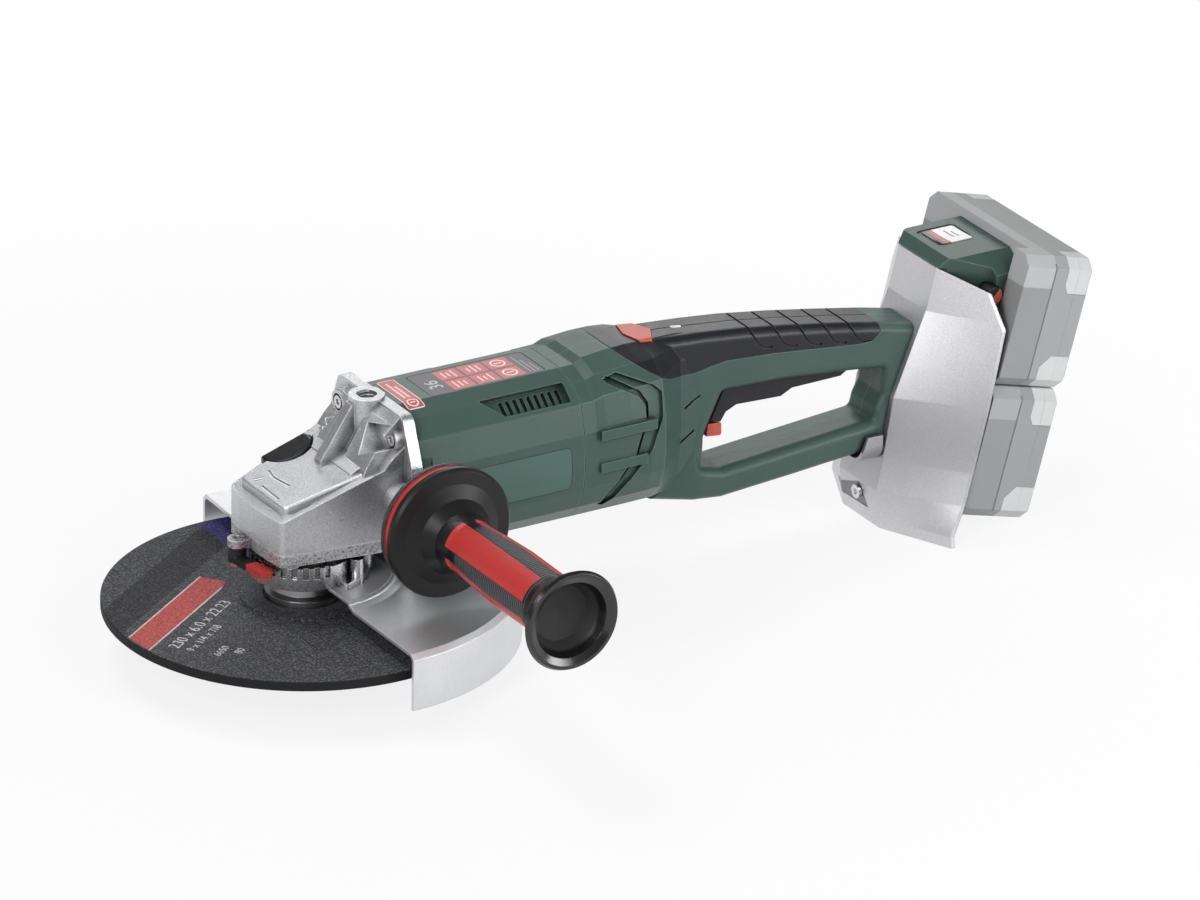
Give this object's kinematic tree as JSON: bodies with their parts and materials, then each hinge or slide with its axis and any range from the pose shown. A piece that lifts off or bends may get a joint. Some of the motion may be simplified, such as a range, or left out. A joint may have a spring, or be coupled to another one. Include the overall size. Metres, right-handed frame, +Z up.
{
  "type": "angle grinder",
  "caption": "Cordless angle grinder with a grinding disc, guard, side handle, turning D-handle, rear shield and battery packs.",
  "frame": {"origin": "on the spindle axis at the outer face of the clamping nut", "axes": "+Z up along the spindle towards the top handle socket, +X back along the motor axis to the rear handle, +Y along the free right-hand handle socket"},
  "size_m": [0.6103, 0.3499, 0.1719],
  "materials": {
    "silver_cast": "cast satin",
    "steel": "satin",
    "bright_steel": "satin",
    "green_plastic": "matte",
    "soft_black": "matte",
    "black_plastic": "matte",
    "red_plastic": "satin",
    "red_rubber": "satin",
    "abrasive": "rough",
    "guard_steel": "satin",
    "shield_metal": "sparkling satin",
    "pack_grey": "matte",
    "pack_dark": "matte",
    "copper": "satin",
    "lamp": "clear"
  },
  "bodies": {
    "machine": {"gear_housing": "silver_cast", "bearing_cover": "silver_cast", "cover_screws": "steel", "housing_screws": "bright_steel", "motor_housing": "green_plastic", "spindle_bearing": "steel", "needle_bearing": "steel", "stator": "copper", "pinion_bearing": "steel", "rear_bearing": "steel", "swivel_ring": "steel", "handle_stud": "steel", "handle_hub": "black_plastic", "damping_ring": "red_rubber", "side_grip": "soft_black", "grip_panels": "red_rubber", "end_cap": "black_plastic", "lever_bolt": "bright_steel", "lock_spring": "steel"},
    "rotor": {"rotor_shaft": "steel", "rotor_core": "steel", "fan": "black_plastic", "pinion": "steel"},
    "spindle_set": {"spindle": "steel", "crown_gear": "steel", "support_flange": "steel", "grinding_disc": "abrasive", "clamping_nut": "steel"},
    "spindle_lock": {"lock_button": "black_plastic"},
    "guard_set": {"guard": "guard_steel", "guard_collar": "silver_cast"},
    "collar_lever": {"guard_lever": "red_plastic"},
    "rear_handle": {"handle_left": "green_plastic", "handle_right": "green_plastic", "soft_grip": "soft_black", "shell_screws": "steel", "status_lamp": "lamp", "switch": "black_plastic", "electronics": "black_plastic", "trigger_pin": "steel", "battery_foot": "green_plastic", "foot_terminals": "copper", "shield": "shield_metal", "shield_screw": "bright_steel"},
    "turn_lock": {"turn_button": "red_plastic"},
    "trigger_bar": {"trigger": "black_plastic"},
    "start_lock": {"lock_lever": "red_plastic"},
    "upper_pack": {"pack_upper_case": "pack_grey", "pack_upper_lid": "pack_dark", "pack_upper_contacts": "copper"},
    "lower_pack": {"pack_lower_case": "pack_grey", "pack_lower_lid": "pack_dark", "pack_lower_contacts": "copper"},
    "upper_release": {"release_upper": "red_plastic"},
    "lower_release": {"release_lower": "red_plastic"}
  },
  "joints": [
    {"name": "spindle_spin", "type": "hinge", "parent": "machine", "child": "spindle_set", "pos_m": [0, 0, 0], "axis": [0, 0, 1], "continuous": true},
    {"name": "rotor_spin", "type": "hinge", "parent": "machine", "child": "rotor", "pos_m": [0.1, 0, 0.08], "axis": [1, 0, 0], "continuous": true},
    {"name": "spindle_lock_press", "type": "slide", "parent": "machine", "child": "spindle_lock", "axis": [0, 0, -1], "range_m": [0, 0.004], "stiffness_N_per_m": 1500, "springref_m": -0.002, "deforming": ["lock_spring"]},
    {"name": "guard_turn", "type": "hinge", "parent": "machine", "child": "guard_set", "pos_m": [0, 0, 0.032], "axis": [0, 0, 1], "range_deg": [-72, 84]},
    {"name": "collar_lever_swing", "type": "hinge", "parent": "machine", "child": "collar_lever", "pos_m": [-0.037, 0.0105, 0.044], "axis": [0, 0, -1], "range_deg": [0, 15], "stiffness_Nm_per_rad": 0.1, "springref_deg": -17.19},
    {"name": "rear_handle_turn", "type": "hinge", "parent": "machine", "child": "rear_handle", "pos_m": [0.16, 0, 0.08], "axis": [1, 0, 0], "range_deg": [-90, 90]},
    {"name": "turn_lock_press", "type": "slide", "parent": "rear_handle", "child": "turn_lock", "axis": [0, 0, -1], "range_m": [0, 0.004], "stiffness_N_per_m": 1500, "springref_m": -0.002},
    {"name": "trigger_squeeze", "type": "hinge", "parent": "rear_handle", "child": "trigger_bar", "pos_m": [0.357, 0, 0.0865], "axis": [0, 1, 0], "range_deg": [0, 3.5], "stiffness_Nm_per_rad": 6, "springref_deg": -2.86},
    {"name": "start_lock_swing", "type": "hinge", "parent": "trigger_bar", "child": "start_lock", "pos_m": [0.2685, 0, 0.07], "axis": [0, 1, 0], "range_deg": [0, 12], "stiffness_Nm_per_rad": 0.02, "springref_deg": -22.92},
    {"name": "upper_pack_slide", "type": "slide", "parent": "rear_handle", "child": "upper_pack", "axis": [0, -1, 0], "range_m": [0, 0.11]},
    {"name": "lower_pack_slide", "type": "slide", "parent": "rear_handle", "child": "lower_pack", "axis": [0, -1, 0], "range_m": [0, 0.11]},
    {"name": "upper_release_press", "type": "slide", "parent": "rear_handle", "child": "upper_release", "axis": [0, 1, 0], "range_m": [0, 0.0025], "stiffness_N_per_m": 1200, "springref_m": -0.002},
    {"name": "lower_release_press", "type": "slide", "parent": "rear_handle", "child": "lower_release", "axis": [0, 1, 0], "range_m": [0, 0.0025], "stiffness_N_per_m": 1200, "springref_m": -0.002}
  ],
  "couplings": [
    {"joint": "rotor_spin", "follows": "spindle_spin", "ratio": 3.0909}
  ]
}
